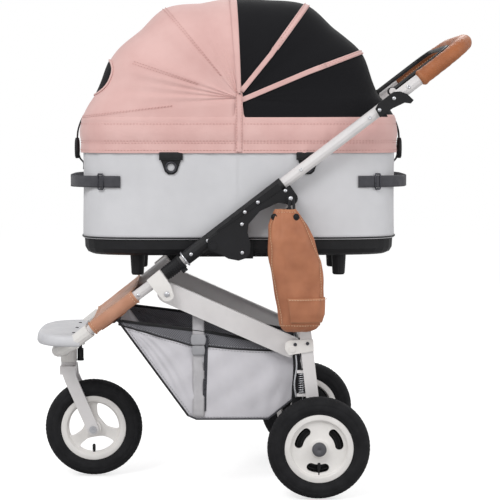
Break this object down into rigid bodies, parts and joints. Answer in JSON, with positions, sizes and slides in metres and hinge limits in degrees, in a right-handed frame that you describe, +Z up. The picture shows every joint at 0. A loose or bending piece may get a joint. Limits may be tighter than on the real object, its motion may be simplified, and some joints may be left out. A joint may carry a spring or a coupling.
{
  "type": "pet stroller",
  "caption": "Three-wheel pet stroller: lift-off domed cot on a folding tube frame, with caster front wheel, basket, curved handle and hung pouch.",
  "frame": {"origin": "on the ground plane, midway along the length and on the plane between left and right", "axes": "+Z up, +X towards the push handle, -X the way it travels, -Y the left side"},
  "size_m": [0.9279, 0.5246, 1.058],
  "materials": {
    "white_paint": "satin",
    "housing_white": "satin",
    "black_plastic": "matte",
    "bright_steel": "satin",
    "cot_grey": "matte",
    "pink_cloth": "matte",
    "dark_mesh": "matte",
    "grip_leather": "satin",
    "pouch_leather": "satin",
    "tyre_rubber": "matte",
    "mat_cloth": "matte",
    "webbing": "matte",
    "cap_plastic": "satin"
  },
  "bodies": {
    "chassis": {"handle_tube": "white_paint", "handle_grip": "grip_leather", "left_hinge_housing": "black_plastic", "right_hinge_housing": "black_plastic", "left_leg_pin": "bright_steel", "right_leg_pin": "bright_steel", "cot_carrier": "black_plastic"},
    "left_lever": {"left_release_lever": "black_plastic"},
    "right_lever": {"right_release_lever": "black_plastic"},
    "brake_lever": {"brake_bar": "black_plastic"},
    "front_frame": {"left_lower_tube": "white_paint", "right_lower_tube": "white_paint", "left_hinge_socket": "black_plastic", "right_hinge_socket": "black_plastic", "left_link_plate": "housing_white", "right_link_plate": "housing_white", "calf_panel": "grip_leather", "front_housing": "housing_white", "foot_plate": "housing_white"},
    "left_sleeve": {"left_lock_sleeve": "black_plastic"},
    "right_sleeve": {"right_lock_sleeve": "black_plastic"},
    "wheel_lock": {"swivel_lock": "black_plastic"},
    "caster": {"fork": "white_paint", "front_axle": "bright_steel"},
    "front_wheel": {"front_rim": "housing_white", "front_tyre": "tyre_rubber"},
    "link_bars": {"left_link_bar": "white_paint", "right_link_bar": "white_paint", "basket": "cot_grey"},
    "rear_legs": {"left_rear_leg": "white_paint", "right_rear_leg": "white_paint", "left_rear_bracket": "housing_white", "right_rear_bracket": "housing_white", "rear_axle": "bright_steel"},
    "left_wheel": {"left_rear_rim": "housing_white", "left_rear_tyre": "tyre_rubber", "left_rear_cap": "cap_plastic"},
    "right_wheel": {"right_rear_rim": "housing_white", "right_rear_tyre": "tyre_rubber", "right_rear_cap": "cap_plastic"},
    "cot": {"cot_tray": "black_plastic", "cot_wall": "cot_grey", "cot_band": "pink_cloth", "cot_mattress": "mat_cloth", "front_hood": "pink_cloth", "rear_hood": "dark_mesh", "left_front_ring_tab": "black_plastic", "right_front_ring_tab": "black_plastic", "left_rear_ring_tab": "black_plastic", "right_rear_ring_tab": "black_plastic", "front_cot_handle": "webbing", "rear_cot_handle": "webbing"},
    "front_bow": {"front_edge_bow": "bright_steel"},
    "front_second_bow": {"front_mid_bow": "bright_steel"},
    "rear_bow": {"rear_edge_bow": "bright_steel"},
    "rear_second_bow": {"rear_mid_bow": "bright_steel"},
    "rear_third_bow": {"rear_low_bow": "bright_steel"},
    "hung_pouch": {"pouch": "pouch_leather", "pouch_strap": "black_plastic"}
  },
  "joints": [
    {"name": "frame_fold", "type": "hinge", "parent": "chassis", "child": "front_frame", "pos_m": [-0.08832, 0, 0.52971], "axis": [0, -1, 0], "range_deg": [0, 66], "deforming": ["basket"]},
    {"name": "leg_fold", "type": "hinge", "parent": "chassis", "child": "rear_legs", "pos_m": [0.0735, 0, 0.629], "axis": [0, -1, 0], "range_deg": [0, 33.5]},
    {"name": "bar_fold", "type": "hinge", "parent": "front_frame", "child": "link_bars", "pos_m": [-0.1855, 0, 0.428], "axis": [0, 1, 0], "range_deg": [0, 49.5]},
    {"name": "left_sleeve_slide", "type": "slide", "parent": "front_frame", "child": "left_sleeve", "axis": [0.7934, 0, 0.6088], "range_m": [0, 0.008]},
    {"name": "right_sleeve_slide", "type": "slide", "parent": "front_frame", "child": "right_sleeve", "axis": [0.7934, 0, 0.6088], "range_m": [0, 0.008]},
    {"name": "left_lever_pull", "type": "hinge", "parent": "chassis", "child": "left_lever", "pos_m": [0.28976, -0.215, 0.83697], "axis": [0, -1, 0], "range_deg": [0, 15], "stiffness_Nm_per_rad": 0.6, "springref_deg": -8.59},
    {"name": "right_lever_pull", "type": "hinge", "parent": "chassis", "child": "right_lever", "pos_m": [0.28976, 0.215, 0.83697], "axis": [0, -1, 0], "range_deg": [0, 15], "stiffness_Nm_per_rad": 0.6, "springref_deg": -8.59},
    {"name": "brake_squeeze", "type": "hinge", "parent": "chassis", "child": "brake_lever", "pos_m": [0.28679, 0, 0.85234], "axis": [0, 1, 0], "range_deg": [0, 8], "stiffness_Nm_per_rad": 1.5, "springref_deg": -11.46},
    {"name": "caster_swivel", "type": "hinge", "parent": "front_frame", "child": "caster", "pos_m": [-0.411, 0, 0.24], "axis": [0, 0, 1], "continuous": true},
    {"name": "swivel_lock_slide", "type": "slide", "parent": "front_frame", "child": "wheel_lock", "axis": [0, 0, 1], "range_m": [0, 0.008]},
    {"name": "front_wheel_spin", "type": "hinge", "parent": "caster", "child": "front_wheel", "pos_m": [-0.356, 0, 0.108], "axis": [0, 1, 0], "continuous": true},
    {"name": "left_wheel_spin", "type": "hinge", "parent": "rear_legs", "child": "left_wheel", "pos_m": [0.132, -0.236, 0.108], "axis": [0, 1, 0], "continuous": true},
    {"name": "right_wheel_spin", "type": "hinge", "parent": "rear_legs", "child": "right_wheel", "pos_m": [0.132, 0.236, 0.108], "axis": [0, 1, 0], "continuous": true},
    {"name": "cot_lift", "type": "slide", "parent": "chassis", "child": "cot", "axis": [0, 0, 1], "range_m": [0, 0.3]},
    {"name": "front_hood_fold", "type": "hinge", "parent": "cot", "child": "front_bow", "pos_m": [-0.0327, 0, 0.838], "axis": [0, -1, 0], "range_deg": [0, 68], "deforming": ["front_hood"]},
    {"name": "front_second_fold", "type": "hinge", "parent": "cot", "child": "front_second_bow", "pos_m": [-0.0327, 0, 0.838], "axis": [0, -1, 0], "range_deg": [0, 41]},
    {"name": "rear_hood_fold", "type": "hinge", "parent": "cot", "child": "rear_bow", "pos_m": [-0.0327, 0, 0.838], "axis": [0, 1, 0], "range_deg": [0, 68], "deforming": ["rear_hood"]},
    {"name": "rear_second_fold", "type": "hinge", "parent": "cot", "child": "rear_second_bow", "pos_m": [-0.0327, 0, 0.838], "axis": [0, 1, 0], "range_deg": [0, 38.5]},
    {"name": "rear_third_fold", "type": "hinge", "parent": "cot", "child": "rear_third_bow", "pos_m": [-0.0327, 0, 0.838], "axis": [0, 1, 0], "range_deg": [0, 10.5]},
    {"name": "pouch_swing", "type": "hinge", "parent": "chassis", "child": "hung_pouch", "pos_m": [0.0735, -0.2085, 0.629], "axis": [0, 1, 0], "range_deg": [-12, 12]}
  ],
  "couplings": [
    {"joint": "leg_fold", "follows": "frame_fold", "ratio": 0.5025},
    {"joint": "bar_fold", "follows": "frame_fold", "ratio": 0.7405},
    {"joint": "left_sleeve_slide", "follows": "left_lever_pull", "m_per_rad": 0.02979},
    {"joint": "right_sleeve_slide", "follows": "right_lever_pull", "m_per_rad": 0.02979},
    {"joint": "front_second_fold", "follows": "front_hood_fold", "ratio": 0.6},
    {"joint": "rear_second_fold", "follows": "rear_hood_fold", "ratio": 0.56},
    {"joint": "rear_third_fold", "follows": "rear_hood_fold", "ratio": 0.15}
  ]
}
